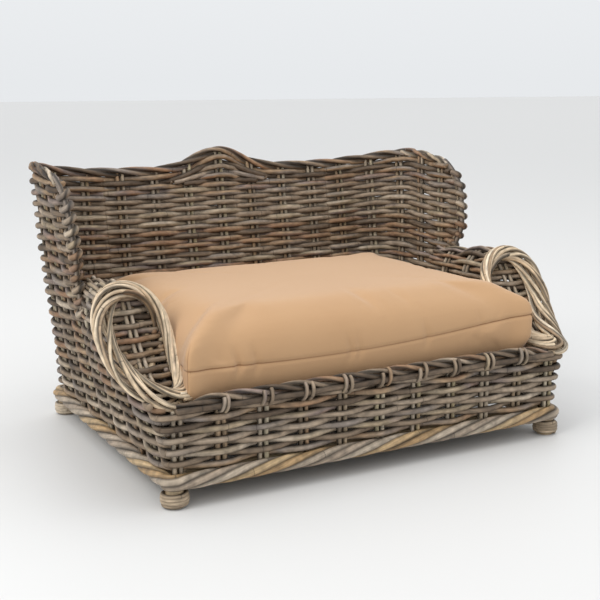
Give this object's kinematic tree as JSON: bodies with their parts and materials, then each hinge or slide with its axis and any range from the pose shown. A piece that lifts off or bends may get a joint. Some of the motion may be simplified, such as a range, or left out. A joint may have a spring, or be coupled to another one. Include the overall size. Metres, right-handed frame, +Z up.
{
  "type": "wicker pet bed basket",
  "caption": "Low woven cane pet bed shaped like a small sofa: winged high back, rolled arms, rope-edged base on wrapped feet and a loose boxed cushion.",
  "frame": {"origin": "on the floor, under the middle of the basket's whole outline", "axes": "+X to the right as seen from the front, +Y to the back, +Z up"},
  "size_m": [0.8912, 0.6685, 0.5045],
  "materials": {
    "woven_cane": "weathered grey-brown round cane, matt",
    "border_cane": "weathered grey-brown round cane, matt",
    "pale_cane": "paler cane stakes, satin",
    "peeled_cane": "peeled tan cane, satin",
    "rope_cane": "honey and grey thick cane, satin",
    "foot_cane": "weathered cane, matt",
    "rattan_pole": "natural rattan pole, satin",
    "cushion_cloth": "camel smooth twill",
    "cushion_fill": "white fibre filling",
    "zip_cloth": "woven tape",
    "zip_brass": "dull brass",
    "nail_steel": "plain wire nail"
  },
  "bodies": {
    "basket": {"front_left_post": "rattan_pole", "front_right_post": "rattan_pole", "rear_left_post": "rattan_pole", "rear_right_post": "rattan_pole", "base_front_rail": "rattan_pole", "base_rear_rail": "rattan_pole", "base_left_rail": "rattan_pole", "base_right_rail": "rattan_pole", "seat_front_rail": "rattan_pole", "seat_rear_rail": "rattan_pole", "seat_left_rail": "rattan_pole", "seat_right_rail": "rattan_pole", "seat_slats": "rattan_pole", "seat_weave": "woven_cane", "frame_nails": "nail_steel", "front_left_foot_core": "rattan_pole", "front_right_foot_core": "rattan_pole", "rear_left_foot_core": "rattan_pole", "rear_right_foot_core": "rattan_pole", "front_left_foot_wrap": "foot_cane", "front_right_foot_wrap": "foot_cane", "rear_left_foot_wrap": "foot_cane", "rear_right_foot_wrap": "foot_cane", "front_stakes": "pale_cane", "back_stakes": "pale_cane", "left_side_stakes": "pale_cane", "right_side_stakes": "pale_cane", "left_wing_stakes": "pale_cane", "right_wing_stakes": "pale_cane", "front_weave": "woven_cane", "back_weave": "woven_cane", "left_side_weave": "woven_cane", "right_side_weave": "woven_cane", "left_wing_weave": "woven_cane", "right_wing_weave": "woven_cane", "left_arm_weave": "woven_cane", "right_arm_weave": "woven_cane", "left_arm_front_weave": "woven_cane", "right_arm_front_weave": "woven_cane", "left_arm_cane": "rattan_pole", "right_arm_cane": "rattan_pole", "left_arm_hoop": "rattan_pole", "right_arm_hoop": "rattan_pole", "left_arm_wreath": "peeled_cane", "right_arm_wreath": "peeled_cane", "base_rope": "rope_cane", "front_rim_border": "border_cane", "back_top_border": "border_cane", "left_wing_border": "border_cane", "right_wing_border": "border_cane"},
    "cushion": {"cushion_cover": "cushion_cloth", "cushion_filling": "cushion_fill", "zip_tape": "zip_cloth", "zip_coil": "zip_brass"},
    "slider": {"zip_slider": "zip_brass"},
    "pull": {"zip_pull": "zip_brass"}
  },
  "joints": [
    {"name": "cushion_lift", "type": "slide", "parent": "basket", "child": "cushion", "axis": [0, 0, 1], "range_m": [0, 0.3]},
    {"name": "zip_slide", "type": "slide", "parent": "cushion", "child": "slider", "axis": [1, 0, 0], "range_m": [-0.42, 0]},
    {"name": "pull_swing", "type": "hinge", "parent": "slider", "child": "pull", "pos_m": [0.21, 0.21104, 0.208], "axis": [1, 0, 0], "range_deg": [0, 150]}
  ]
}
